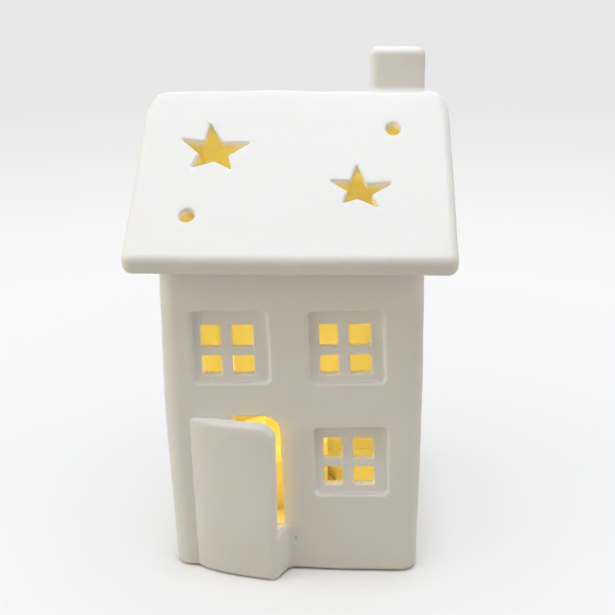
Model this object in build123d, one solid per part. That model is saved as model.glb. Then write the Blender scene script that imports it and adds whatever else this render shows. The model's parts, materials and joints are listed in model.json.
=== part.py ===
# Tealight house: a small white ceramic house with a battery tealight standing inside.
# Millimetres, +Z up. The origin is on the table under the middle of the house, and the front faces -Y.

import os
from math import cos, radians, sin, tan

from build123d import *

# Cutting bodies run this far past the faces that they cut
overrun = 2.0

# Walls, open under the roof and below
wall_width = 76.0
wall_depth = 76.0
wall_thickness = 4.5
wall_inner_radius = 0.7
base_edge_radius = 0.9

# Floor plate with a round hole that lets the house down over the tealight, and the pads under it
floor_thickness = 4.5
floor_hole_gap = 1.95
floor_hole_shift = (1.15, -1.0)
floor_hole_bevel = 0.6
pad_height = 0.5
pad_radius = 4.5
pad_inset = 9.5

# Roof slab, folded along a ridge that runs left to right and thinner over the room; angles in degrees
gable_overhang = 8.4
eave_overhang = 8.3
roof_thickness = 6.0
roof_skin = 2.6
roof_pitch = 43.2
eave_top_height = 104.3
eave_cut_angle = 23.0
ridge_radius = 5.0
ridge_inner_radius = 2.0
roof_corner_radius = 3.0
roof_top_radius = 2.8
roof_under_radius = 1.6

# Stars and round holes in the front slope, at shares of the roof's length and of the way down from the ridge
star_radii = (10.0, 8.7)
star_place_shares = ((-0.258, 0.385), (0.210, 0.611))
star_tip_shares = (
    ((-0.17, 0.98), (-1.00, 0.36), (-0.60, -0.69), (0.60, -0.77), (1.11, 0.21)),
    ((-0.09, 0.95), (-1.03, 0.31), (-0.57, -0.62), (0.63, -0.78), (1.09, 0.24)),
)
star_hollow_shares = (
    ((-0.30, 0.28), (-0.42, -0.17), (0.05, -0.45), (0.45, -0.25), (0.26, 0.24)),
    ((-0.35, 0.27), (-0.41, -0.14), (-0.08, -0.42), (0.37, -0.26), (0.21, 0.19)),
)
star_tip_radius = 0.3
star_hollow_radius = 0.8
vent_radius = 2.25
vent_place_shares = ((0.317, 0.269), (-0.315, 0.762))
cutout_edge_bevel = 0.45

# Chimney just behind the ridge
chimney_width = 16.6
chimney_depth = 15.0
chimney_rise = 11.2
chimney_setback = 1.0
chimney_place_share = 0.334
chimney_edge_radius = 2.4
chimney_foot_radius = 1.4

# Windows: a shallow recess with four panes cut through, at shares of the wall's width and the eave's height
window_width = 22.0
window_height = 22.4
window_recess = 1.9
window_corner_radius = 1.6
window_rim_radius = 0.9
window_floor_bevel = 0.4
window_place_shares = ((-0.234, 0.723), (0.207, 0.727), (0.227, 0.369))
window_tilts = (1.5, 2.0, 1.5)
pane_width = 5.9
pane_height = 6.4
pane_pitch_x = 9.15
pane_pitch_z = 8.95
pane_corner_radius = 0.5
pane_edge_bevel = 0.2
pane_column_shares = (0.94, 1.06)
pane_row_shares = (0.95, 1.05)
pane_group_shares = ((-0.055, -0.070), (-0.020, -0.060), (-0.040, -0.050))

# Doorway between the wall's corner and the windows, down to a closed sill, with a leaf fixed ajar in front
door_inset = 1.5
doorway_pier = 9.3
doorway_lintel = 11.0
doorway_lean = 1.25
doorway_sill = 16.7
doorway_corner_radius = 5.0
doorway_edge_radius = 0.8
door_side_gap = 0.4
door_thickness = 3.8
door_swing = 14.5
door_bow = 1.1
door_proud = 0.4
door_lap = 1.0
door_top_gap = 0.1
door_corner_radius = 3.0
door_edge_radius = 1.2
door_back_radius = 0.6
sill_return = 2.8
sill_hollow = 1.3
sill_edge_radius = 0.8

# Tealight, standing on the table with this much room to the left wall and to the back wall
tealight_side_room = 4.82
tealight_back_room = 2.692
shell_room = 0.9
shell_wall = 1.2
shell_ledge = 0.5
shell_skin = 1.3
rim_width = 2.2
rim_radius = 0.7
dish_depth = 2.6
dish_radius = 13.0
fit_gap = 0.1
running_gap = 0.25

# Flame-shaped lens and the lamp under it
lens_radius = 4.5
lens_flange_radius = 5.6
lens_flange = 0.8
lens_bore_radius = 3.3
lens_bore_rise = 6.8
flame_height = 17.5
flame_belly_share = 0.30
flame_waist_share = 0.72
flame_waist_radius = 1.7
flame_tip_radius = 0.45
lamp_radius = 2.5
lamp_height = 8.4
lamp_flange_radius = 2.9
lamp_flange = 1.0
lead_size = 0.5
lead_pitch = 2.54

# Base frame with the battery well, which stands off the tealight's axis
frame_recess = 0.6
frame_plate = 1.4
well_gap = 0.2
well_wall = 0.85
well_roof = 1.0
post_rise = 7.75
post_recess = 0.8

# Round cell and its two contacts
cell_radius = 10.0
cell_height = 3.2
cell_cap_radius = 8.0
cell_cap_height = 0.4
cell_gap = 0.3
cell_lift = 0.15
strip_thickness = 0.2
spring_drop = 0.55
spring_width = 4.0
spring_flat = 5.0
spring_slope = 4.0
spring_toe = 2.0
side_strip_width = 3.0

# Battery cover with a bayonet lock and a slot for a coin
cover_margin = 1.2
cover_thickness = 2.5
lug_reach = 1.2
lug_thickness = 0.95
lug_angle = 30.0
lug_play = 0.2
unlock_angle = 45.0
coin_slot_length = 14.0
coin_slot_width = 1.6
coin_slot_depth = 1.0
cover_edge_radius = 0.3

# Sliding switch under the tealight, beside the battery well
switch_travel = 2.6
knob_width = 2.6
knob_length = 3.2
knob_lift = 0.2
slider_width = 4.4
slider_length = 5.2
slider_thickness = 0.8
rail_width = 0.5
rail_height = 1.0
bridge_width = 3.6
bridge_crown = 0.3
bridge_crown_length = 1.6
bridge_ramp = 0.6
bridge_foot = 0.9
switch_gap = 0.15
contact_toe = 0.8

# Levels and places of the house that follow from the sizes above
pitch = radians(roof_pitch)
swing = radians(door_swing)
front = -wall_depth / 2
wall_corner_radius = wall_inner_radius + wall_thickness
roof_length = wall_width + 2 * gable_overhang
roof_half_depth = wall_depth / 2 + eave_overhang
base_level = pad_height
floor_level = base_level + floor_thickness
apex_level = eave_top_height + roof_half_depth * tan(pitch)
door_hinge = -wall_width / 2 + wall_corner_radius + door_inset
doorway_foot = window_place_shares[-1][0] * wall_width - window_width / 2 - doorway_pier
doorway_right = doorway_foot - doorway_lean
doorway_top = window_place_shares[0][1] * eave_top_height - window_height / 2 - doorway_lintel
door_width = doorway_right - door_hinge - door_side_gap
door_sunk = (door_thickness * cos(swing) - door_proud) / sin(swing)
doorway_left = door_hinge + door_sunk * cos(swing) + door_thickness * sin(swing)

# Levels and places of the tealight, worked out from the battery cover upwards and outwards
plate_top = frame_recess + frame_plate
lug_level = plate_top + lug_play
cover_top = lug_level + lug_thickness
groove_top = cover_top + lug_play
cell_level = cover_top + cell_lift
cell_top = cell_level + cell_height
well_top = cell_top + spring_drop + strip_thickness
well_roof_top = well_top + well_roof
lamp_level = well_roof_top + post_rise
post_level = lamp_level + post_recess
skin_level = post_level + lens_flange
dish_level = skin_level + shell_skin
shell_height = dish_level + dish_depth
cover_radius = cell_radius + cover_margin
groove_radius = cover_radius + lug_reach + running_gap
well_radius = groove_radius + well_wall
switch_reach = slider_width / 2 + running_gap + rail_width / 2
core_radius = well_radius + switch_reach + shell_room
shell_radius = core_radius + shell_ledge + shell_wall
well_x = core_radius - well_gap - well_radius
switch_x = well_x - well_radius - switch_reach
slider_level = plate_top + fit_gap
bridge_level = slider_level + slider_thickness
contact_level = bridge_level + strip_thickness + bridge_crown + switch_gap
tealight_x = -wall_width / 2 + wall_thickness + tealight_side_room + shell_radius
tealight_y = wall_depth / 2 - wall_thickness - tealight_back_room - shell_radius


def slab(sketch, low, high):
    """Straight body over a sketch of the ground plane, between two heights."""
    return extrude(Pos(0, 0, low) * sketch, amount=high - low)


def block(width, depth, low, high, x=0, y=0):
    """Rectangular body between two heights, centred on x and y."""
    return slab(Pos(x, y) * Rectangle(width, depth), low, high)


def loop_edges(faces):
    """Edges round a group of faces, without the seams between them."""
    edges = [edge for face in faces for edge in face.edges()]
    return [edge for edge in edges if sum(edge.is_same(other) for other in edges) == 1]


def inner_edges(*faces):
    """Edges of the holes in some faces."""
    return [edge for face in faces for wire in face.inner_wires() for edge in wire.edges()]


# House

def wall_plan(inset):
    """Outline of the walls, moved in from the outer faces."""
    radius = wall_corner_radius - inset
    return RectangleRounded(wall_width - 2 * inset, wall_depth - 2 * inset, radius)


def under_roof(thickness):
    """Section of the space under a roof of some thickness."""
    reach = roof_half_depth + overrun
    peak_level = apex_level - thickness / cos(pitch)
    side_level = peak_level - reach * tan(pitch)
    corners = ((-reach, 0), (-reach, side_level), (0, peak_level), (reach, side_level), (reach, 0))
    section = Polygon(*corners, align=None)
    return fillet(section.vertices().sort_by(Axis.Y)[-1], ridge_inner_radius)


def roof_body():
    """Section of the roof and all below it, down past the eaves."""
    angle = radians(eave_cut_angle)
    cut = roof_thickness / cos(pitch - angle) + overrun
    low_y = roof_half_depth - cut * sin(angle)
    low_z = eave_top_height - cut * cos(angle)
    eave = (roof_half_depth, eave_top_height)
    corners = ((0, apex_level), eave, (low_y, low_z), (-low_y, low_z), (-eave[0], eave[1]))
    section = Polygon(*corners, align=None)
    return fillet(section.vertices().sort_by(Axis.Y)[-1], ridge_radius)


def along_x(section, length):
    """Straight body along X from a section, half to each side."""
    return extrude(Plane.YZ * section, amount=length / 2, both=True)


def window_frames():
    """Middle and turn of each window on the front face."""
    places = []
    for (across, up), tilt in zip(window_place_shares, window_tilts):
        middle = Plane.XZ.offset(-front) * Pos(across * wall_width, up * eave_top_height)
        places.append(middle * Rot(0, 0, tilt))
    return places


def pane_sketch(group):
    """Four rounded panes about the middle of a window."""
    sketch = Sketch()
    for column, side in zip(pane_column_shares, (-1, 1)):
        for row, level in zip(pane_row_shares, (-1, 1)):
            x = side * pane_pitch_x / 2 + group[0] * window_width
            z = level * pane_pitch_z / 2 + group[1] * window_height
            pane = RectangleRounded(column * pane_width, row * pane_height, pane_corner_radius)
            sketch += Pos(x, z) * pane
    return sketch


def doorway_sketch():
    """Front view of the doorway, with its free side leaning."""
    lower = ((doorway_left, doorway_sill), (doorway_foot, doorway_sill))
    upper = ((doorway_right, doorway_top), (doorway_left, doorway_top))
    opening = Polygon(*lower, *upper, align=None)
    corner = opening.vertices().group_by(Axis.Y)[-1].sort_by(Axis.X)[-1]
    return fillet(corner, doorway_corner_radius)


def window_panels(walls):
    """Sunken faces of the windows."""
    flat = walls.faces().filter_by(Axis.Y)
    return flat.filter_by_position(Axis.Y, front + window_recess / 2, front + wall_thickness / 2)


def by_doorway(edge):
    """Whether an edge of the front face belongs to the doorway."""
    middle = edge.center()
    return middle.X < doorway_foot + overrun and middle.Z < doorway_top + overrun


def make_walls():
    """Four walls with gables, cut for windows and doorway."""
    walls = slab(wall_plan(0), base_level, apex_level)
    walls = fillet(walls.faces().sort_by(Axis.Z)[0].edges(), base_edge_radius)
    walls = walls & along_x(under_roof(roof_thickness), wall_width + overrun)
    walls -= slab(wall_plan(wall_thickness), 0, apex_level)
    through = wall_thickness + overrun
    for frame, group in zip(window_frames(), pane_group_shares):
        outline = RectangleRounded(window_width, window_height, window_corner_radius)
        walls -= extrude(frame * outline, amount=window_recess, both=True)
        walls -= extrude(frame * pane_sketch(group), amount=through, both=True)
    walls -= extrude(Plane.XZ.offset(-front) * doorway_sketch(), amount=through, both=True)
    walls = chamfer(inner_edges(*window_panels(walls)), pane_edge_bevel)
    rounds = [edge for panel in window_panels(walls) for edge in panel.outer_wire().edges()]
    walls = chamfer(rounds, window_floor_bevel)
    face = walls.faces().filter_by(Axis.Y).sort_by(Axis.Y)[0]
    walls = fillet([edge for edge in inner_edges(face) if not by_doorway(edge)], window_rim_radius)
    face = walls.faces().filter_by(Axis.Y).sort_by(Axis.Y)[0]
    open_edges = ShapeList(edge for edge in inner_edges(face) if by_doorway(edge)).sort_by(Axis.X)[1:]
    return fillet(open_edges.sort_by(Axis.Z)[1:], doorway_edge_radius)


def make_floor():
    """Plate between the walls, with a hole that clears the tealight."""
    floor = slab(wall_plan(wall_thickness), base_level, floor_level)
    shift_x, shift_y = floor_hole_shift
    hole = Pos(tealight_x + shift_x, tealight_y + shift_y) * Circle(shell_radius + floor_hole_gap)
    floor -= slab(hole, 0, floor_level)
    return chamfer(floor.edges().filter_by(GeomType.CIRCLE).sort_by(Edge.length)[-2:], floor_hole_bevel)


def on_slope(along, down):
    """Plane on the front slope at shares of its length and of the way down."""
    y = -roof_half_depth * down
    point = (along * roof_length, y, apex_level + y * tan(pitch))
    return Plane(origin=point, x_dir=(1, 0, 0), z_dir=(0, -sin(pitch), cos(pitch)))


def star_sketch(radius, tips, hollows):
    """Hand-cut star with rounded tips and hollows, from shares of its radius."""
    points = [(radius * x, radius * y) for pair in zip(tips, hollows) for x, y in pair]
    star = Polygon(*points, align=None)
    star = fillet(star.vertices().sort_by_distance((0, 0, 0))[:len(hollows)], star_hollow_radius)
    return fillet(star.vertices().sort_by_distance((0, 0, 0))[-len(tips):], star_tip_radius)


def make_roof():
    """Folded slab with soft edges, hollowed over the room, with two stars and two round holes."""
    roof = along_x(roof_body() - under_roof(roof_thickness), roof_length)
    corners = []
    for end in roof.faces().filter_by(Axis.X):
        across = end.edges().sort_by(Axis.Y)
        corners += [across[0], across[-1]]
    roof = fillet(corners, roof_corner_radius)
    underside_tilt = (sin(pitch) + sin(radians(eave_cut_angle))) / 2
    upper = roof.faces().filter_by(lambda face: face.normal_at().Z > sin(pitch) / 2)
    roof = fillet(loop_edges(upper), roof_top_radius)
    lower = roof.faces().filter_by(lambda face: face.normal_at().Z < -underside_tilt)
    roof = fillet(loop_edges(lower), roof_under_radius)
    room = slab(wall_plan(wall_thickness), floor_level, apex_level)
    roof -= room & along_x(under_roof(roof_skin), wall_width)
    through = roof_thickness + overrun
    for place, *outline in zip(star_place_shares, star_radii, star_tip_shares, star_hollow_shares):
        roof -= extrude(on_slope(*place) * star_sketch(*outline), amount=through, both=True)
    for place in vent_place_shares:
        roof -= extrude(on_slope(*place) * Circle(vent_radius), amount=through, both=True)
    slopes = roof.faces().filter_by(lambda face: face.normal_at().Z > 0 and bool(face.inner_wires()))
    return chamfer(inner_edges(*slopes), cutout_edge_bevel)


def make_chimney():
    """Closed block that saddles the back slope, with a soft foot."""
    solid_roof = along_x(roof_body(), roof_length)
    low = apex_level - (chimney_setback + chimney_depth) * tan(pitch) - roof_thickness
    x = chimney_place_share * roof_length
    y = chimney_setback + chimney_depth / 2
    stack = block(chimney_width, chimney_depth, low, apex_level + chimney_rise, x, y)
    top = stack.faces().sort_by(Axis.Z)[-1]
    stack = fillet(stack.edges().filter_by(Axis.Z) + top.edges(), chimney_edge_radius)
    joined = solid_roof + stack
    joined = fillet(new_edges(solid_roof, stack, combined=joined), chimney_foot_radius)
    return joined - solid_roof


def door_frame():
    """Ground plane of the leaf: x along it from the hinge side, y into the house."""
    hinge = (door_hinge, front - door_proud, base_level)
    return Plane(origin=hinge, x_dir=(cos(swing), -sin(swing), 0), z_dir=(0, 0, 1))


def make_door_leaf(walls):
    """Slightly bowed leaf, lapped over the wall at its hinge side."""
    middle = door_width / 2
    back = door_thickness
    face_line = ThreePointArc((-door_lap, 0), (middle, -door_bow), (door_width, 0))
    back_line = ThreePointArc((door_width, back), (middle, back - door_bow), (-door_lap, back))
    free_end = Line((door_width, 0), (door_width, back))
    hinge_end = Line((-door_lap, back), (-door_lap, 0))
    plan = make_face([face_line, free_end, back_line, hinge_end])
    leaf = extrude(door_frame() * plan, amount=doorway_top - door_top_gap - base_level)
    leaf = fillet(leaf.edges().group_by(Axis.Z)[-1].sort_by(Axis.X)[-1], door_corner_radius)
    for side, radius in ((0, door_edge_radius), (-1, door_back_radius)):
        face = leaf.faces().sort_by(SortBy.AREA)[-2:].sort_by(Axis.Y)[side]
        leaf = fillet(face.edges().sort_by(Axis.Z)[1:], radius)
    return leaf - walls


def make_door_sill(walls, leaf):
    """Wedge with a hollow end that closes the foot of the doorway between the leaf and the wall."""
    corner = door_frame().from_local_coords(Vector(door_width, door_edge_radius, 0))
    tip = Vector(corner.X, corner.Y)
    foot = Vector(doorway_foot + sill_return, front)
    root = Vector(doorway_left, front)
    along = (foot - tip).normalized()
    middle = (tip + foot) * 0.5 + Vector(-along.Y, along.X) * sill_hollow
    end = ThreePointArc(tip, middle, foot)
    sill = slab(make_face([Line(root, tip), end, Line(foot, root)]), base_level, doorway_sill)
    sill = fillet(sill.edges().group_by(Axis.Z)[-1].filter_by(GeomType.CIRCLE), sill_edge_radius)
    return sill - leaf - walls


def make_foot_pads():
    """Four round pads under the corners of the floor."""
    x = wall_width / 2 - pad_inset
    y = wall_depth / 2 - pad_inset
    pad = slab(Circle(pad_radius), 0, pad_height)
    return [Pos(side_x * x, side_y * y) * pad for side_x in (-1, 1) for side_y in (-1, 1)]


# Tealight, in its own frame: the axis is Z and it stands on zero

def make_shell():
    """Candle-shaped shell with a dished top and a hole for the lens."""
    inner = shell_radius - shell_wall
    lip = shell_radius - rim_width
    outline = Polyline(
        (shell_radius, 0),
        (shell_radius, shell_height),
        (lip, shell_height),
        (dish_radius, dish_level),
        (lens_radius + fit_gap, dish_level),
        (lens_radius + fit_gap, skin_level),
        (dish_radius, skin_level),
        (core_radius, shell_height - shell_skin - rim_width),
        (core_radius, plate_top),
        (inner, plate_top),
        (inner, 0),
        close=True,
    )
    section = make_face(outline)
    rim = section.vertices().group_by(Axis.Y)[-1]
    return revolve(Plane.XZ * fillet(rim, rim_radius), axis=Axis.Z)


def make_lens():
    """Hollow flame on a neck, with a flange caught under the shell's top."""
    tip = dish_level + flame_height
    belly = dish_level + flame_belly_share * flame_height
    waist = dish_level + flame_waist_share * flame_height
    points = ((lens_radius, belly), (flame_waist_radius, waist), (flame_tip_radius, tip))
    flame = Spline(*points, tangents=((0, 1), (0, 1)))
    bore_top = dish_level + lens_bore_rise
    rest = Polyline(
        (flame_tip_radius, tip),
        (0, tip),
        (0, bore_top),
        (lens_bore_radius / 2, bore_top),
        (lens_bore_radius, bore_top - lens_bore_radius / 2),
        (lens_bore_radius, post_level),
        (lens_flange_radius, post_level),
        (lens_flange_radius, skin_level),
        (lens_radius, skin_level),
        (lens_radius, belly),
    )
    return revolve(Plane.XZ * make_face([flame, rest]), axis=Axis.Z)


def make_lamp():
    """Round lamp with a domed top and a flange at its foot."""
    shoulder = lamp_level + lamp_height - lamp_radius
    dome = RadiusArc((lamp_radius, shoulder), (0, shoulder + lamp_radius), -lamp_radius)
    rest = Polyline(
        (0, shoulder + lamp_radius),
        (0, lamp_level),
        (lamp_flange_radius, lamp_level),
        (lamp_flange_radius, lamp_level + lamp_flange),
        (lamp_radius, lamp_level + lamp_flange),
        (lamp_radius, shoulder),
    )
    return revolve(Plane.XZ * make_face([dome, rest]), axis=Axis.Z)


def make_long_lead():
    """Lead that leaves the lamp, lies on the well's roof and drops to the switch."""
    x = -lead_pitch / 2
    far = switch_x - bridge_width / 4
    drop = block(lead_size, lead_size, well_roof_top, lamp_level, x)
    run = block(x - far + lead_size, lead_size, well_roof_top, well_roof_top + lead_size, (x + far) / 2)
    tail = block(lead_size, lead_size, contact_level, well_roof_top, far)
    return drop + run + tail


def make_short_lead():
    """Lead that goes straight down from the lamp to the spring over the cell."""
    return block(lead_size, lead_size, well_top, lamp_level, lead_pitch / 2)


def ring_sector(inner, outer, angle, start):
    """Sketch of a ring's sector, from a start angle, about the well's axis."""
    points = []
    for share in (0, 0.5, 1):
        turn = radians(start + share * angle)
        points.append((cos(turn), sin(turn)))
    arcs = [ThreePointArc(*[(radius * x, radius * y) for x, y in points]) for radius in (inner, outer)]
    sides = [Line(arcs[0] @ end, arcs[1] @ end) for end in (0, 1)]
    return make_face(arcs + sides)


def lug_sketch(gap, start):
    """Two opposite lugs, widened by a gap on every side."""
    spread = lug_angle * (1 + 2 * gap / lug_reach)
    inner = cover_radius / 2
    outer = cover_radius + lug_reach + gap
    lugs = [ring_sector(inner, outer, spread, start + side - spread / 2) for side in (0, 180)]
    return lugs[0] + lugs[1]


def make_frame():
    """Bottom plate with the battery well, the lamp post, the switch slot and its rails."""
    plate_radius = shell_radius - shell_wall - fit_gap
    frame = slab(Circle(plate_radius), frame_recess, plate_top)
    frame += Pos(well_x, 0) * slab(Circle(well_radius), plate_top, well_roof_top)
    frame += slab(Circle(lens_flange_radius), well_roof_top, post_level)
    rail_low = -slider_length / 2 - running_gap
    rail_high = slider_length / 2 + switch_travel + running_gap
    rail = block(rail_width, rail_high - rail_low, plate_top, plate_top + rail_height)
    for side in (-1, 1):
        frame += Pos(switch_x + side * switch_reach, (rail_low + rail_high) / 2) * rail
    hole = Circle(cover_radius + running_gap) + lug_sketch(running_gap, unlock_angle)
    frame -= Pos(well_x, 0) * slab(hole, 0, plate_top)
    frame -= Pos(well_x, 0) * slab(Circle(groove_radius), plate_top, groove_top)
    frame -= Pos(well_x, 0) * slab(Circle(cell_radius + cell_gap), groove_top, well_top)
    frame -= slab(Circle(lamp_flange_radius + fit_gap), lamp_level, post_level)
    slot_width = knob_width + 2 * running_gap
    slot_length = knob_length + switch_travel + 2 * running_gap
    frame -= block(slot_width, slot_length, 0, plate_top, switch_x, switch_travel / 2)
    lead_hole = lead_size + 2 * fit_gap
    frame -= block(lead_hole, lead_hole, well_top, lamp_level, lead_pitch / 2)
    frame -= block(lead_hole, lead_hole, well_roof_top, lamp_level, -lead_pitch / 2)
    channel = lens_flange_radius + overrun
    frame -= block(channel, lead_hole, well_roof_top, well_roof_top + lead_size + fit_gap, -channel / 2)
    window = well_radius - cell_radius + overrun
    window_x = well_x - cell_radius - window / 2 + overrun / 2
    frame -= block(window, side_strip_width + 2 * fit_gap, contact_level, well_top, window_x)
    return frame


def make_spring():
    """Sprung strip under the well's roof that presses on the top of the cell."""
    low = cell_top
    points = (
        (-spring_flat, well_top),
        (0, well_top),
        (spring_slope, low + strip_thickness),
        (spring_slope + spring_toe, low + strip_thickness),
        (spring_slope + spring_toe, low),
        (spring_slope, low),
        (0, well_top - strip_thickness),
        (-spring_flat, well_top - strip_thickness),
    )
    strip = make_face(Polyline(*points, close=True))
    place = Plane.XZ * Pos(lead_pitch / 2 + lead_size, 0)
    return extrude(place * strip, amount=spring_width / 2, both=True)


def make_side_strip():
    """Angled strip that stands against the side of the cell and reaches over the switch."""
    side = well_x - cell_radius
    toe = switch_x + contact_toe
    foot_top = contact_level + strip_thickness
    foot = block(side - toe, side_strip_width, contact_level, foot_top, (side + toe) / 2)
    post = block(strip_thickness, side_strip_width, contact_level, cell_top, side - strip_thickness / 2)
    return foot + post


def make_cell():
    """Round cell: a wide case with a smaller raised cap."""
    case_top = cell_top - cell_cap_height
    cell = slab(Circle(cell_radius), cell_level, case_top)
    cell = chamfer(cell.edges(), cell_cap_height / 2)
    return Pos(well_x, 0) * (cell + slab(Circle(cell_cap_radius), case_top, cell_top))


def make_cover():
    """Round cover with two bayonet lugs and a coin slot."""
    cover = slab(Circle(cover_radius), cover_top - cover_thickness, cover_top)
    cover = fillet(cover.edges().sort_by(Axis.Z)[0], cover_edge_radius)
    cover += slab(lug_sketch(0, 0), lug_level, cover_top)
    slot = SlotOverall(coin_slot_length, coin_slot_width)
    low = cover_top - cover_thickness
    return Pos(well_x, 0) * (cover - slab(slot, low, low + coin_slot_depth))


def make_slider():
    """Switch slider: a plate over the slot with a ribbed knob through it."""
    slider = block(slider_width, slider_length, slider_level, bridge_level)
    slider += block(knob_width, knob_length, frame_recess - knob_lift, slider_level)
    groove = knob_length / 6
    for side in (-1, 1):
        slider -= block(knob_width + overrun, groove, 0, frame_recess + knob_lift, 0, side * groove)
    return Pos(switch_x, 0) * slider


def make_bridge():
    """Bent strip on the slider that joins the two contacts above it."""
    crown = bridge_crown_length / 2
    half = crown + bridge_ramp
    end = half + bridge_foot
    upper = ((-end, 0), (-half, 0), (-crown, bridge_crown), (crown, bridge_crown), (half, 0), (end, 0))
    lower = [(y, bridge_level + z) for y, z in upper]
    raised = [(y, z + strip_thickness) for y, z in reversed(lower)]
    strip = make_face(Polyline(*lower, *raised, close=True))
    return Pos(switch_x, 0) * along_x(strip, bridge_width)


def build():
    """Every piece of the house and the tealight, by name."""
    walls = make_walls()
    leaf = make_door_leaf(walls)
    house = {
        "house_walls": walls,
        "floor_plate": make_floor(),
        "roof": make_roof(),
        "chimney": make_chimney(),
        "door_leaf": leaf,
        "door_sill": make_door_sill(walls, leaf),
        "foot_pads": Compound(children=make_foot_pads()),
    }
    tealight = {
        "candle_shell": make_shell(),
        "flame_lens": make_lens(),
        "led_lamp": make_lamp(),
        "long_lead": make_long_lead(),
        "short_lead": make_short_lead(),
        "base_frame": make_frame(),
        "cell_spring": make_spring(),
        "side_contact": make_side_strip(),
        "coin_cell": make_cell(),
        "battery_cover": make_cover(),
        "switch_slider": make_slider(),
        "switch_bridge": make_bridge(),
    }
    stand = Pos(tealight_x, tealight_y)
    return house | {name: stand * piece for name, piece in tealight.items()}


os.makedirs("parts", exist_ok=True)
for name, piece in build().items():
    export_step(piece, f"parts/{name}.step")
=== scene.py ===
"""A white ceramic tealight house on a pale sweep, lit from above and glowing from inside."""
import json
import math

import bpy
from mathutils import Matrix, Vector

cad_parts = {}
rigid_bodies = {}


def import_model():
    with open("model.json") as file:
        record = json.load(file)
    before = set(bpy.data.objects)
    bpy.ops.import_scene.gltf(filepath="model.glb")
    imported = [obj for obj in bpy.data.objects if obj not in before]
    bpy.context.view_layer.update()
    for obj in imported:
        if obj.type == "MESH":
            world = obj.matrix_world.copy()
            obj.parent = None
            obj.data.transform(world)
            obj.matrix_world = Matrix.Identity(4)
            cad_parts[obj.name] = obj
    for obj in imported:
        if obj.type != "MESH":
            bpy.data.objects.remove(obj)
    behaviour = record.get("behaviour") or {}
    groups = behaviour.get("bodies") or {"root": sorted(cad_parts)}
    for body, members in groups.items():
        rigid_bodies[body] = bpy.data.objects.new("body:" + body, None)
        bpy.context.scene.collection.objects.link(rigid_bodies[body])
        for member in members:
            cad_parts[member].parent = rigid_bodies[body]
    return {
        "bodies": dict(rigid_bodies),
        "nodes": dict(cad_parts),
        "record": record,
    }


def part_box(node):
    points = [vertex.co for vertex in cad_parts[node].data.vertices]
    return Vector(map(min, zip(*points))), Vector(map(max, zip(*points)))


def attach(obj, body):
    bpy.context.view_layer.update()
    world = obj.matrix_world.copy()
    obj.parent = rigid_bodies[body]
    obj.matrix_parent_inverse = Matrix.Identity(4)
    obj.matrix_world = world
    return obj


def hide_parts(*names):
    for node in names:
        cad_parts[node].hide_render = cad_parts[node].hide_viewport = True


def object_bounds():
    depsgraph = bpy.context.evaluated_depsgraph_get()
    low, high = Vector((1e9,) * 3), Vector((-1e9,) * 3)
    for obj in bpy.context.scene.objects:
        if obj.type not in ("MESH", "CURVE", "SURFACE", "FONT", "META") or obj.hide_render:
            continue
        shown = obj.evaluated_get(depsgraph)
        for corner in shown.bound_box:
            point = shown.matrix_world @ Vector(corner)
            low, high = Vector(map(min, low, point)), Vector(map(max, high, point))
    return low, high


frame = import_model()
cad_low, cad_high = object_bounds()

MM = 0.001

# Sockets of the Mix node that take and give colours
MIX_SHARE = 0
MIX_FIRST = 6
MIX_SECOND = 7
MIX_COLOUR = 2


class Wire:
    """An output of a shader node, so that sums on it are written as Python expressions."""

    def __init__(self, tree, socket):
        self.tree = tree
        self.socket = socket

    def node(self, kind, settings=None, inputs=None, output=0):
        """Adds a node: its settings first, then the values or links of its sockets."""
        made = self.tree.nodes.new(kind)
        for name, value in (settings or {}).items():
            if name == "stops":
                fill_ramp(made.color_ramp, value)
            else:
                setattr(made, name, value)
        for name, value in (inputs or {}).items():
            if isinstance(value, Wire):
                self.tree.links.new(value.socket, made.inputs[name])
            else:
                made.inputs[name].default_value = value
        return Wire(self.tree, made.outputs[output])

    def math(self, operation, first, second):
        return self.node("ShaderNodeMath", {"operation": operation}, {0: first, 1: second})

    def __add__(self, other):
        return self.math("ADD", self, other)

    def __sub__(self, other):
        return self.math("SUBTRACT", self, other)

    def __rsub__(self, other):
        return self.math("SUBTRACT", other, self)

    def __mul__(self, other):
        return self.math("MULTIPLY", self, other)

    def __truediv__(self, other):
        return self.math("DIVIDE", self, other)

    def __gt__(self, other):
        return self.math("GREATER_THAN", self, other)

    def __lt__(self, other):
        return self.math("LESS_THAN", self, other)

    __radd__ = __add__
    __rmul__ = __mul__


def fill_ramp(ramp, stops):
    """Gives a colour ramp its stops, each a place and a colour."""
    ramp.elements[0].position = stops[0][0]
    ramp.elements[-1].position = stops[-1][0]
    for place, colour in stops[1:-1]:
        ramp.elements.new(place)
    for element, (place, colour) in zip(ramp.elements, stops):
        element.color = colour


def rgb(red, green, blue):
    return (red, green, blue, 1.0)


def grey(level):
    return rgb(level, level, level)


def darker(colour, share):
    """The same colour with only a share of its light."""
    return rgb(*(share * part for part in colour[:3]))


def new_material(name):
    """A material with an empty tree, and the Object coordinates to start from."""
    material = bpy.data.materials.new(name)
    material.use_nodes = True
    tree = material.node_tree
    tree.nodes.clear()
    place = Wire(tree, tree.nodes.new("ShaderNodeTexCoord").outputs["Object"])
    return material, place


def close_material(place, shader):
    """Joins a shader to the material's output."""
    output = place.tree.nodes.new("ShaderNodeOutputMaterial")
    place.tree.links.new(shader.socket, output.inputs["Surface"])


def noise(place, scale, detail=2.0):
    """Soft noise between 0 and 1, with a scale in waves per metre."""
    return place.node("ShaderNodeTexNoise", inputs={"Vector": place, "Scale": scale, "Detail": detail})


def ramp_colour(share, stops):
    """A colour from a ramp's stops."""
    return share.node("ShaderNodeValToRGB", {"stops": stops}, {"Fac": share})


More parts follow.
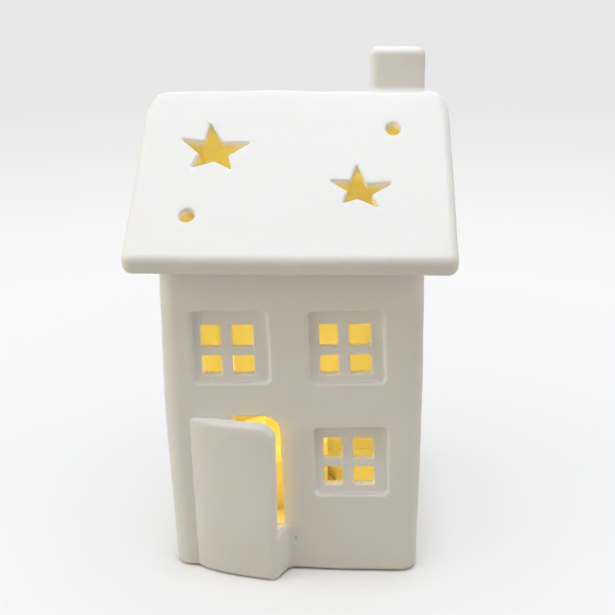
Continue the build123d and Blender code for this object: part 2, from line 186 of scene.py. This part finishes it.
def blend(place, share, first, second):
    """A colour between two colours."""
    colours = {MIX_SHARE: share, MIX_FIRST: first, MIX_SECOND: second}
    return place.node("ShaderNodeMix", {"data_type": "RGBA"}, colours, output=MIX_COLOUR)


def mix_shaders(place, share, first, second):
    """A shader between two shaders."""
    return place.node("ShaderNodeMixShader", inputs={0: share, 1: first, 2: second})


def bump(place, height, distance):
    """A normal from a height field."""
    return place.node("ShaderNodeBump", inputs={"Height": height, "Distance": distance})


def along(place, axis):
    """One coordinate of a place."""
    return place.node("ShaderNodeSeparateXYZ", inputs={"Vector": place}, output=axis)


def way_out(place, axis, low, high):
    """How far a point lies outside a stretch of one axis, zero inside it."""
    off = place.math("ABSOLUTE", along(place, axis) - (low + high) / 2, 0.0)
    return place.math("MAXIMUM", off - (high - low) / 2, 0.0)


def straight_way(first, second):
    """Length of the straight way that two steps at right angles make."""
    return first.math("POWER", first * first + second * second, 0.5)


def rise_share(place, node):
    """Height within a node's box: zero at its foot, one at its top."""
    low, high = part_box(node)
    return (along(place, "Z") - low.z) / (high.z - low.z)


# White bisque: colours, pattern scales in waves per metre, relief, and how deep light goes into it
CLAY_DULL = rgb(0.865, 0.86, 0.85)
CLAY_PALE = rgb(0.905, 0.90, 0.89)
CLAY_ROUGHNESS = 0.50
CLAY_ROUGHNESS_SPREAD = 0.12
MOTTLE_SCALE = 45.0
GRAIN_SCALE = 1300.0
GRAIN_SHARE = 0.08
HAND_WAVE_SCALE = 55.0
HAND_WAVE_SHARE = 0.8
CLAY_RELIEF = 0.4 * MM
LIGHT_DEPTH = 0.8 * MM
LIGHT_DEPTH_COLOURS = (1.0, 0.8, 0.5)
LIGHT_DEPTH_SHARE = 0.4

# Iron in the clay: faint specks all over, and one dark grain low on the front wall
SPECK_SCALE = 420.0
SPECK_LEVEL = 0.86
SPECK_SHARE = 0.06
IRON_SPOT = (0.4 * MM, -38.0 * MM, 11.7 * MM)
IRON_SPOT_RADIUS = 0.6 * MM
IRON_SPOT_SHARE = 0.6
IRON_COLOUR = rgb(0.45, 0.40, 0.34)

# Doorway in the front wall, beside which an amber glow is painted into the clay as emission
DOORWAY_LOW = Vector((-15.0, 0.0, 18.0)) * MM
DOORWAY_HIGH = Vector((-3.8, 0.0, 48.0)) * MM
PAINTED_GLOW_REACH = 7.0 * MM
PAINTED_GLOW_COLOUR = rgb(0.20, 0.11, 0.0)
NO_GLOW = rgb(0.0, 0.0, 0.0)


def painted_doorway_glow(place):
    """Share of painted glow on the clay: one at the doorway's edge, none some millimetres away or on other
    walls.
    """
    beside = way_out(place, "X", DOORWAY_LOW.x, DOORWAY_HIGH.x)
    above = way_out(place, "Z", DOORWAY_LOW.z, DOORWAY_HIGH.z)
    near = place.math("MAXIMUM", 1.0 - straight_way(beside, above) / PAINTED_GLOW_REACH, 0.0)
    return near * near * (along(place, "Y") < 0.0)


def white_ceramic(name, lit=False):
    """Matt white bisque: mottled warm white, fine grain and a slow hand-made wave; when lit, with an amber
    glow painted as emission beside the doorway.
    """
    material, place = new_material(name)
    mottle = noise(place, MOTTLE_SCALE, detail=3.0)
    grain = noise(place, GRAIN_SCALE)
    wave = noise(place, HAND_WAVE_SCALE, detail=1.0)
    speck = noise(place, SPECK_SCALE, detail=0.0) > SPECK_LEVEL
    to_spot = place.node(
        "ShaderNodeVectorMath",
        {"operation": "DISTANCE"},
        {0: place, 1: IRON_SPOT},
        output="Value",
    )
    spot = to_spot < IRON_SPOT_RADIUS
    clay = blend(place, mottle, CLAY_DULL, CLAY_PALE)
    # Painted glow: amber emission beside the doorway, only on the lit copy
    glow = blend(place, painted_doorway_glow(place), NO_GLOW, PAINTED_GLOW_COLOUR) if lit else NO_GLOW
    shader = place.node("ShaderNodeBsdfPrincipled", inputs={
        "Base Color": blend(place, speck * SPECK_SHARE + spot * IRON_SPOT_SHARE, clay, IRON_COLOUR),
        "Roughness": CLAY_ROUGHNESS + CLAY_ROUGHNESS_SPREAD * mottle,
        "Normal": bump(place, wave * HAND_WAVE_SHARE + grain * GRAIN_SHARE, CLAY_RELIEF),
        "Subsurface Weight": LIGHT_DEPTH_SHARE,
        "Subsurface Radius": LIGHT_DEPTH_COLOURS,
        "Subsurface Scale": LIGHT_DEPTH,
        "Emission Color": glow,
        "Emission Strength": 1.0 if lit else 0.0,
    })
    close_material(place, shader)
    return material


# Moulded plastic: a faint orange peel, and soft clouds in the colour
PEEL_SCALE = 900.0
PEEL_HEIGHT = 0.02 * MM
PEEL_ROUGHNESS_SPREAD = 0.1
CLOUD_SCALE = 80.0
CLOUD_SHADE = 0.94


def plain_plastic(name, colour, roughness):
    """Moulded plastic with a faint orange peel."""
    material, place = new_material(name)
    peel = noise(place, PEEL_SCALE)
    shader = place.node("ShaderNodeBsdfPrincipled", inputs={
        "Base Color": blend(place, noise(place, CLOUD_SCALE), darker(colour, CLOUD_SHADE), colour),
        "Roughness": roughness + PEEL_ROUGHNESS_SPREAD * peel,
        "Normal": bump(place, peel, PEEL_HEIGHT),
    })
    close_material(place, shader)
    return material


# Brushed or stamped metal: streaks in waves per metre along each axis
STREAK_SCALES = (200.0, 6000.0, 200.0)
STREAK_SHADE = 0.85
STREAK_ROUGHNESS_SPREAD = 0.15


def bright_metal(name, colour, roughness):
    """Brushed or stamped metal with fine streaks."""
    material, place = new_material(name)
    stretched = place.node("ShaderNodeMapping", inputs={"Vector": place, "Scale": STREAK_SCALES})
    streak = noise(stretched, 1.0)
    shader = place.node("ShaderNodeBsdfPrincipled", inputs={
        "Base Color": blend(place, streak, darker(colour, STREAK_SHADE), colour),
        "Metallic": 1.0,
        "Roughness": roughness + STREAK_ROUGHNESS_SPREAD * streak,
    })
    close_material(place, shader)
    return material


# Flame lens
LENS_DULL = rgb(0.95, 0.70, 0.26)
LENS_PALE = rgb(1.0, 0.78, 0.36)
LENS_ROUGHNESS = 0.40
LENS_ROUGHNESS_SPREAD = 0.15
LENS_GLOW_LOW = rgb(1.0, 0.68, 0.20)
LENS_GLOW_HIGH = rgb(0.75, 0.36, 0.03)
LENS_GLOW_STRENGTH = 0.6
FROST_SCALE = 700.0
FROST_HEIGHT = 0.03 * MM
FROST_GLOW_SHARE = 0.2


def glowing_lens():
    """Frosted amber flame, palest low down where the lamp stands in it."""
    material, place = new_material("lens_plastic")
    frost = noise(place, FROST_SCALE)
    height = rise_share(place, "flame_lens") + FROST_GLOW_SHARE * frost
    shader = place.node("ShaderNodeBsdfPrincipled", inputs={
        "Base Color": blend(place, frost, LENS_DULL, LENS_PALE),
        "Roughness": LENS_ROUGHNESS + LENS_ROUGHNESS_SPREAD * frost,
        "Normal": bump(place, frost, FROST_HEIGHT),
        "Emission Color": blend(place, height, LENS_GLOW_LOW, LENS_GLOW_HIGH),
        "Emission Strength": LENS_GLOW_STRENGTH,
    })
    close_material(place, shader)
    return material


# Candle shell, with the lamp's amber light through the plastic painted on as emission
SHELL_DULL = rgb(0.88, 0.86, 0.79)
SHELL_PALE = rgb(0.93, 0.91, 0.85)
SHELL_ROUGHNESS = 0.42
SHELL_ROUGHNESS_SPREAD = 0.1
SHELL_PAINTED_GLOW_LOW = rgb(0.55, 0.26, 0.015)
SHELL_PAINTED_GLOW_HIGH = rgb(0.90, 0.50, 0.06)
SHELL_PAINTED_GLOW_STRENGTH = 0.4
HAZE_SCALE = 160.0
HAZE_SHARE_OF_PAINTED_GLOW = 0.15


def shell_with_painted_glow():
    """Translucent candle-white plastic, with the amber that the lamp inside gives it painted on as emission,
    most near the top.
    """
    material, place = new_material("shell_plastic")
    haze = noise(place, HAZE_SCALE)
    height = rise_share(place, "candle_shell") * (1.0 - HAZE_SHARE_OF_PAINTED_GLOW) + haze * HAZE_SHARE_OF_PAINTED_GLOW
    shader = place.node("ShaderNodeBsdfPrincipled", inputs={
        "Base Color": blend(place, haze, SHELL_DULL, SHELL_PALE),
        "Roughness": SHELL_ROUGHNESS + SHELL_ROUGHNESS_SPREAD * haze,
        "Normal": bump(place, noise(place, PEEL_SCALE), PEEL_HEIGHT),
        # Painted glow: amber emission, dim low down and strongest near the top
        "Emission Color": blend(place, height, SHELL_PAINTED_GLOW_LOW, SHELL_PAINTED_GLOW_HIGH),
        "Emission Strength": SHELL_PAINTED_GLOW_STRENGTH,
    })
    close_material(place, shader)
    return material


MATERIALS = {
    "white_ceramic": white_ceramic("white_ceramic"),
    "pad_rubber": plain_plastic("pad_rubber", rgb(0.55, 0.55, 0.54), 0.7),
    "shell_plastic": shell_with_painted_glow(),
    "lens_plastic": glowing_lens(),
    "lamp_resin": plain_plastic("lamp_resin", rgb(1.0, 0.80, 0.35), 0.2),
    "lead_wire": bright_metal("lead_wire", rgb(0.75, 0.74, 0.72), 0.3),
    "frame_plastic": plain_plastic("frame_plastic", rgb(0.88, 0.88, 0.87), 0.5),
    "contact_metal": bright_metal("contact_metal", rgb(0.80, 0.68, 0.42), 0.3),
    "cell_steel": bright_metal("cell_steel", rgb(0.70, 0.70, 0.71), 0.3),
    "switch_plastic": plain_plastic("switch_plastic", rgb(0.10, 0.10, 0.10), 0.5),
}

for subpart in frame["record"]["subparts"]:
    node = frame["nodes"][subpart["node"]]
    node.data.materials.clear()
    node.data.materials.append(MATERIALS[subpart["material_slot"]])


# House, cast by hand: every ceramic piece bends and waves with the same field, so that they still meet
CAST_NODES = [
    part["node"] for part in frame["record"]["subparts"] if part["material_slot"] == "white_ceramic"
]
CUT_STEP = 3.0 * MM
MERGE_REACH = 0.002 * MM
WAVE_LENGTH = 24.0 * MM
WAVE_HEIGHT = 0.7 * MM
SMOOTH_ANGLE = math.radians(50.0)

# Bending cage: its points along each axis, and single pushes in millimetres, by steps right, back and up
CAGE_POINTS = (4, 4, 6)
SINGLE_PUSHES = {
    (2, 0, 0): (0.0, -2.0, 0.0),
    (1, 1, 5): (0.0, 0.0, 1.2),
    (1, 2, 5): (0.0, 0.0, 1.2),
}

# Pushes in millimetres along x on the cage's left and right sides, level by level from the foot
LEFT_PUSHES = (-0.8, -2.2, -2.6, -1.2)
RIGHT_PUSHES = (1.0, 1.6, 1.4, 0.4)

# Upper corners that the maker's thumb rounded off: the way out to them, and how far the rounding reaches
DOOR_SWING = math.radians(14.5)
ROUNDED_CORNERS = {
    "roof": (((1.0, 0.0), 6.0 * MM), ((-1.0, 0.0), 6.0 * MM)),
    "door_leaf": (((math.cos(DOOR_SWING), -math.sin(DOOR_SWING)), 4.6 * MM),),
}

# Window recesses: middles across and up the front wall, half their size, and the depths of their floors
WINDOW_MIDDLES = ((-17.8 * MM, 75.4 * MM), (15.7 * MM, 75.8 * MM), (17.3 * MM, 38.5 * MM))
WINDOW_HALF = 11.5 * MM
WINDOW_FLOOR = (-37.0 * MM, -35.0 * MM)

# How much deeper a recess gets over half its height, and the height that keeps its depth, from -1 to 1
WINDOW_TIP = 1.2 * MM
WINDOW_TURN_LINE = -0.4

# Slip smeared into the corner between the door's edge, the sill and the wall, and the pulls on its corners
SLIP_LOW = Vector((-27.0, -44.2, 0.6)) * MM
SLIP_HIGH = Vector((-1.0, -36.6, 16.6)) * MM
SLIP_LEAN = Vector((-4.0, 0.0, 0.0)) * MM
SLIP_DROP = Vector((0.0, 0.0, -2.0)) * MM
SLIP_ROOT = Vector((0.0, 5.9, 0.0)) * MM

# Door: how finely it is fused, how often it is rubbed, and how its hinge end sinks into the wall
DOOR_NODES = ("door_leaf", "door_sill")
DOOR_GRAIN = 0.5 * MM
DOOR_RUBS = 12
HINGE_SINK = 1.6 * MM
HINGE_REACH = 7.0 * MM


def only(piece):
    """Makes one piece the only selected one."""
    bpy.ops.object.select_all(action="DESELECT")
    piece.select_set(True)
    bpy.context.view_layer.objects.active = piece


def divided_copy(node):
    """Copy of a node's mesh, merged and cut along a grid so that it can bend."""
    piece = bpy.data.objects.new(node + "_cast", frame["nodes"][node].data.copy())
    bpy.context.scene.collection.objects.link(piece)
    only(piece)
    low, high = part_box(node)
    bpy.ops.mesh.customdata_custom_splitnormals_clear()
    bpy.ops.object.mode_set(mode="EDIT")
    bpy.ops.mesh.select_all(action="SELECT")
    bpy.ops.mesh.remove_doubles(threshold=MERGE_REACH)
    for axis in range(3):
        normal = Matrix.Identity(3)[axis]
        for step in range(1, int((high[axis] - low[axis]) / CUT_STEP) + 1):
            bpy.ops.mesh.select_all(action="SELECT")
            bpy.ops.mesh.bisect(plane_co=normal * (low[axis] + step * CUT_STEP), plane_no=normal)
    bpy.ops.object.mode_set(mode="OBJECT")
    return piece


def tip_windows(piece):
    """Leans the floor of each window's recess, so that its top lies deeper than its foot."""
    outer, inner = WINDOW_FLOOR
    for point in (vertex.co for vertex in piece.data.vertices):
        for across, up in WINDOW_MIDDLES:
            rise = (point.z - up) / WINDOW_HALF
            if outer < point.y < inner and abs(rise) < 1.0 and abs(point.x - across) < WINDOW_HALF:
                point.y += WINDOW_TIP * (rise - WINDOW_TURN_LINE)


def round_corner(piece, side, reach):
    """Turns the square upper corner that lies furthest to one side into a quarter circle."""
    out = Vector((*side, 0.0))
    up = Vector((0.0, 0.0, 1.0))
    points = [vertex.co for vertex in piece.data.vertices]
    furthest = max(point.dot(out) for point in points)
    highest = max(point.dot(up) for point in points)
    for point in points:
        across = 1.0 + (point.dot(out) - furthest) / reach
        above = 1.0 + (point.dot(up) - highest) / reach
        if across > 0.0 and above > 0.0:
            point += out * (reach * across * (math.sqrt(1.0 - above ** 2 / 2.0) - 1.0))
            point += up * (reach * above * (math.sqrt(1.0 - across ** 2 / 2.0) - 1.0))


def cage_pushes():
    """All pushes on the cage: the single ones, and those on its two sides."""
    pushes = dict(SINGLE_PUSHES)
    for level, (left, right) in enumerate(zip(LEFT_PUSHES, RIGHT_PUSHES)):
        for back in range(CAGE_POINTS[1]):
            pushes[0, back, level] = (left, 0.0, 0.0)
            pushes[CAGE_POINTS[0] - 1, back, level] = (right, 0.0, 0.0)
    return pushes


def bending_cage():
    """Cage round the whole object, with some of its points pushed as listed."""
    size = cad_high - cad_low
    bpy.ops.object.select_all(action="DESELECT")
    bpy.ops.object.add(type="LATTICE", location=(cad_low + cad_high) / 2)
    cage = bpy.context.object
    cage.scale = size
    lattice = cage.data
    lattice.points_u, lattice.points_v, lattice.points_w = CAGE_POINTS
    for (right, back, up), push in cage_pushes().items():
        point = lattice.points[right + CAGE_POINTS[0] * (back + CAGE_POINTS[1] * up)]
        point.co_deform = point.co + Vector([MM * part / side for part, side in zip(push, size)])
    return cage


def cast(piece, cage, wave):
    """Bends and waves a piece of the house, and smooths its faces."""
    only(piece)
    bend = piece.modifiers.new("bend", "LATTICE")
    bend.object = cage
    ripple = piece.modifiers.new("ripple", "DISPLACE")
    ripple.texture = wave
    ripple.texture_coords = "LOCAL"
    ripple.direction = "RGB_TO_XYZ"
    ripple.strength = WAVE_HEIGHT
    bpy.ops.object.modifier_apply(modifier=bend.name)
    bpy.ops.object.modifier_apply(modifier=ripple.name)
    bpy.ops.object.shade_smooth_by_angle(angle=SMOOTH_ANGLE)
    settle = piece.modifiers.new("settle", "WEIGHTED_NORMAL")
    settle.keep_sharp = True
    bpy.ops.object.modifier_apply(modifier=settle.name)
    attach(piece, "house")


def pull_corners(piece, chosen, way):
    """Moves the corners of a piece for which a test holds."""
    bpy.ops.object.mode_set(mode="EDIT")
    bpy.ops.mesh.select_mode(type="VERT")
    bpy.ops.mesh.select_all(action="DESELECT")
    bpy.ops.object.mode_set(mode="OBJECT")
    for vertex in piece.data.vertices:
        vertex.select = chosen(vertex.co)
    bpy.ops.object.mode_set(mode="EDIT")
    bpy.ops.transform.translate(value=way)
    bpy.ops.object.mode_set(mode="OBJECT")


def sill_slip():
    """Wedge behind the leaf's foot: it leans to the leaf, its top falls, and its root lies at the wall."""
    middle = (SLIP_LOW + SLIP_HIGH) / 2
    bpy.ops.object.select_all(action="DESELECT")
    bpy.ops.mesh.primitive_cube_add(size=1.0, location=middle, scale=SLIP_HIGH - SLIP_LOW)
    bpy.ops.object.transform_apply(location=True, rotation=True, scale=True)
    slip = bpy.context.object
    pull_corners(slip, lambda corner: corner.y < middle.y and corner.x > middle.x, SLIP_LEAN)
    pull_corners(slip, lambda corner: corner.y < middle.y and corner.z > middle.z, SLIP_DROP)
    pull_corners(slip, lambda corner: corner.y < middle.y and corner.x < middle.x, SLIP_ROOT)
    return slip


def sink_hinge(leaf):
    """Eases the leaf's hinge end back into the wall, so that its face grows out of it."""
    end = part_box("door_leaf")[0].x
    for point in (vertex.co for vertex in leaf.data.vertices):
        near = max(0.0, 1.0 - (point.x - end) / HINGE_REACH)
        point.y += HINGE_SINK * near ** 2


def one_door(leaf, sill):
    """Joins leaf, sill and slip to one piece with rubbed edges."""
    sink_hinge(leaf)
    slip = sill_slip()
    only(leaf)
    sill.select_set(True)
    slip.select_set(True)
    bpy.ops.object.join()
    leaf.data.remesh_voxel_size = DOOR_GRAIN
    bpy.ops.object.voxel_remesh()
    rub = leaf.modifiers.new("rub", "SMOOTH")
    rub.iterations = DOOR_RUBS
    bpy.ops.object.modifier_apply(modifier=rub.name)
    leaf.name = "door_cast"
    leaf.data.materials.clear()
    leaf.data.materials.append(MATERIALS["white_ceramic"])
    return leaf


def cast_house():
    """Replaces the ceramic nodes by soft, slightly crooked copies."""
    cage = bending_cage()
    wave = bpy.data.textures.new("hand_wave", "CLOUDS")
    wave.cloud_type = "COLOR"
    wave.noise_scale = WAVE_LENGTH
    copies = {node: divided_copy(node) for node in CAST_NODES}
    for node, piece in copies.items():
        for side, reach in ROUNDED_CORNERS.get(node, ()):
            round_corner(piece, side, reach)
    tip_windows(copies["house_walls"])
    # The walls carry the amber glow painted as emission beside the doorway
    copies["house_walls"].data.materials[0] = white_ceramic("painted_glow_ceramic", lit=True)
    leaf, sill = (copies.pop(node) for node in DOOR_NODES)
    door = one_door(leaf, sill)
    cast(door, cage, wave)
    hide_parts(*DOOR_NODES)
    for node, piece in copies.items():
        cast(piece, cage, wave)
        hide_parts(node)
    bpy.data.objects.remove(cage)


cast_house()


# Floor: its side in metres, its white under the lamps, and the colour with which it lights the house
FLOOR_SIZE = 6.0
FLOOR_WHITE = grey(0.99)
FLOOR_BOUNCE = rgb(0.49, 0.455, 0.415)

# Distance in metres at which the ramps end, and the footprint round which the floor takes the shadow
BACKDROP_REACH = 2.0
FOOTPRINT_LOW = Vector((-38.0, -42.0)) * MM
FOOTPRINT_HIGH = Vector((38.0, 38.0)) * MM

# Share of the even backdrop, by distance from the footprint
FADE_STOPS = (
    (0.000, grey(0.0)),
    (0.006, grey(0.70)),
    (0.080, grey(0.82)),
    (0.230, grey(1.0)),
)

# Brightness of the backdrop, by distance from the middle
BACKDROP_STOPS = (
    (0.00, grey(0.85)),
    (0.05, grey(0.89)),
    (0.10, grey(0.94)),
    (0.16, grey(0.955)),
    (0.28, grey(0.91)),
    (0.48, grey(0.85)),
    (0.80, grey(0.81)),
    (1.00, grey(0.805)),
)

# Light of the room, from the horizon up to overhead
ROOM_STOPS = (
    (0.00, rgb(0.15, 0.115, 0.05)),
    (0.35, rgb(0.15, 0.13, 0.085)),
    (0.70, rgb(0.15, 0.15, 0.15)),
    (1.00, rgb(0.15, 0.155, 0.165)),
)


def seen_share(place):
    """One for the camera and for what mirrors and clear pieces show of the room, else zero."""
    seen = place.node("ShaderNodeLightPath", output="Is Camera Ray")
    mirrored = place.node("ShaderNodeLightPath", output="Is Glossy Ray")
    passed = place.node("ShaderNodeLightPath", output="Is Transmission Ray")
    return place.math("MINIMUM", seen + mirrored + passed, 1.0)


def pale_floor():
    """Large pale floor that takes the house's shadow and fades into the pale room."""
    bpy.ops.object.select_all(action="DESELECT")
    bpy.ops.mesh.primitive_plane_add(size=FLOOR_SIZE)
    floor = bpy.context.object
    floor.name = "floor"
    material, place = new_material("floor")
    from_middle = place.node("ShaderNodeVectorMath", {"operation": "LENGTH"}, {0: place}, output="Value")
    beside = way_out(place, "X", FOOTPRINT_LOW.x, FOOTPRINT_HIGH.x)
    before = way_out(place, "Y", FOOTPRINT_LOW.y, FOOTPRINT_HIGH.y)
    faded = ramp_colour(straight_way(beside, before) / BACKDROP_REACH, FADE_STOPS)
    backdrop = ramp_colour(from_middle / BACKDROP_REACH, BACKDROP_STOPS)
    lit = place.node("ShaderNodeBsdfDiffuse", inputs={"Color": FLOOR_WHITE})
    glow = place.node("ShaderNodeEmission", inputs={"Color": backdrop})
    shown = mix_shaders(place, faded, lit, glow)
    hidden = place.node("ShaderNodeBsdfDiffuse", inputs={"Color": FLOOR_BOUNCE})
    close_material(place, mix_shaders(place, seen_share(place), hidden, shown))
    floor.data.materials.append(material)


def pale_room():
    """Warm dim room low down, neutral above, and pale where the camera looks past the floor."""
    world = bpy.data.worlds.new("room")
    bpy.context.scene.world = world
    world.use_nodes = True
    tree = world.node_tree
    tree.nodes.clear()
    ahead = Wire(tree, tree.nodes.new("ShaderNodeTexCoord").outputs["Generated"])
    light = ramp_colour(along(ahead, "Z"), ROOM_STOPS)
    colour = blend(ahead, seen_share(ahead), light, BACKDROP_STOPS[-1][1])
    shader = ahead.node("ShaderNodeBackground", inputs={"Color": colour})
    output = tree.nodes.new("ShaderNodeOutputWorld")
    tree.links.new(shader.socket, output.inputs["Surface"])


pale_floor()
pale_room()


# Soft lights round the house, all aimed at one point: place and side in metres, watts, colour
LIGHT_TARGET = Vector((0.0, 0.0, 0.06))
SOFT_LIGHTS = {
    "top_light": ((0.0, -0.06, 1.36), 0.9, 11.4, (0.94, 1.01, 1.15)),
    "left_light": ((-1.0, -0.24, 0.5), 0.8, 4.5, (1.0, 0.955, 0.86)),
    "right_light": ((1.0, -0.24, 0.5), 0.8, 3.1, (1.0, 0.93, 0.77)),
    "front_light": ((-0.6, -0.85, 0.45), 0.8, 1.6, (1.0, 0.88, 0.56)),
    "back_light": ((0.3, 1.1, 0.6), 0.8, 2.0, (1.0, 0.98, 0.94)),
}

# Light of the flame: shares that thin out and stay even with distance, and its shift from the lens's middle
FLAME_COLOUR = (1.0, 0.68, 0.08)
FLAME_WATTS = 1.0
FLAME_RADIUS = 6.0 * MM
FLAME_THINNING_SHARE = 0.06
FLAME_EVEN_SHARE = 10.5
FLAME_SHIFT = Vector((6.0, -7.0, 23.0)) * MM


def soft_light(name, place, side, watts, colour):
    """Square soft light aimed at the house."""
    lamp = bpy.data.lights.new(name, "AREA")
    lamp.size = side
    lamp.energy = watts
    lamp.color = colour
    holder = bpy.data.objects.new(name, lamp)
    bpy.context.scene.collection.objects.link(holder)
    holder.location = place
    holder.rotation_mode = "QUATERNION"
    holder.rotation_quaternion = (LIGHT_TARGET - Vector(place)).to_track_quat("-Z", "Y")


def flame_light():
    """Small warm light by the flame, which moves with the tealight and hardly thins out with distance."""
    low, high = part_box("flame_lens")
    lamp = bpy.data.lights.new("flame_light", "POINT")
    lamp.energy = FLAME_WATTS
    lamp.color = FLAME_COLOUR
    lamp.shadow_soft_size = FLAME_RADIUS
    lamp.use_nodes = True
    tree = lamp.node_tree
    falloff = tree.nodes.new("ShaderNodeLightFalloff")
    falloff.inputs["Strength"].default_value = 1.0
    thinning = Wire(tree, falloff.outputs["Linear"])
    even = Wire(tree, falloff.outputs["Constant"])
    strength = thinning * FLAME_THINNING_SHARE + even * FLAME_EVEN_SHARE
    tree.links.new(strength.socket, tree.nodes["Emission"].inputs["Strength"])
    holder = bpy.data.objects.new("flame_light", lamp)
    bpy.context.scene.collection.objects.link(holder)
    holder.location = (low + high) / 2 + FLAME_SHIFT
    holder.parent = frame["bodies"]["tealight"]
    holder.visible_camera = False
    frame["nodes"]["flame_lens"].visible_shadow = False


for light_name, light_settings in SOFT_LIGHTS.items():
    soft_light(light_name, *light_settings)
flame_light()


# Camera: place in metres, turns in degrees, focal length and sensor in millimetres for a square picture
CAMERA_PLACE = (0.01742, -0.26608, 0.16353)
CAMERA_DIP = 18.239
CAMERA_TURN = -3.187
CAMERA_ROLL = -0.544
CAMERA_LENS = 48.92
CAMERA_SENSOR = 36.0
CAMERA_NEAREST = 10.0 * MM


def photo_camera():
    """Camera that looks down at the front of the house, a little from its right."""
    dip, turn, roll = (math.radians(angle) for angle in (CAMERA_DIP, CAMERA_TURN, CAMERA_ROLL))
    ahead = Vector((math.sin(turn) * math.cos(dip), math.cos(turn) * math.cos(dip), -math.sin(dip)))
    right = Vector((math.cos(turn), -math.sin(turn), 0))
    up = right.cross(ahead)
    tilted_right = right * math.cos(roll) + up * math.sin(roll)
    tilted_up = up * math.cos(roll) - right * math.sin(roll)
    camera = bpy.data.objects.new("camera", bpy.data.cameras.new("camera"))
    bpy.context.scene.collection.objects.link(camera)
    camera.data.lens = CAMERA_LENS
    camera.data.sensor_width = CAMERA_SENSOR
    camera.data.clip_start = CAMERA_NEAREST
    axes = Matrix((tilted_right, tilted_up, -ahead)).transposed()
    camera.matrix_world = Matrix.Translation(CAMERA_PLACE) @ axes.to_4x4()
    bpy.context.scene.camera = camera


photo_camera()
bpy.context.scene.view_settings.view_transform = "Standard"
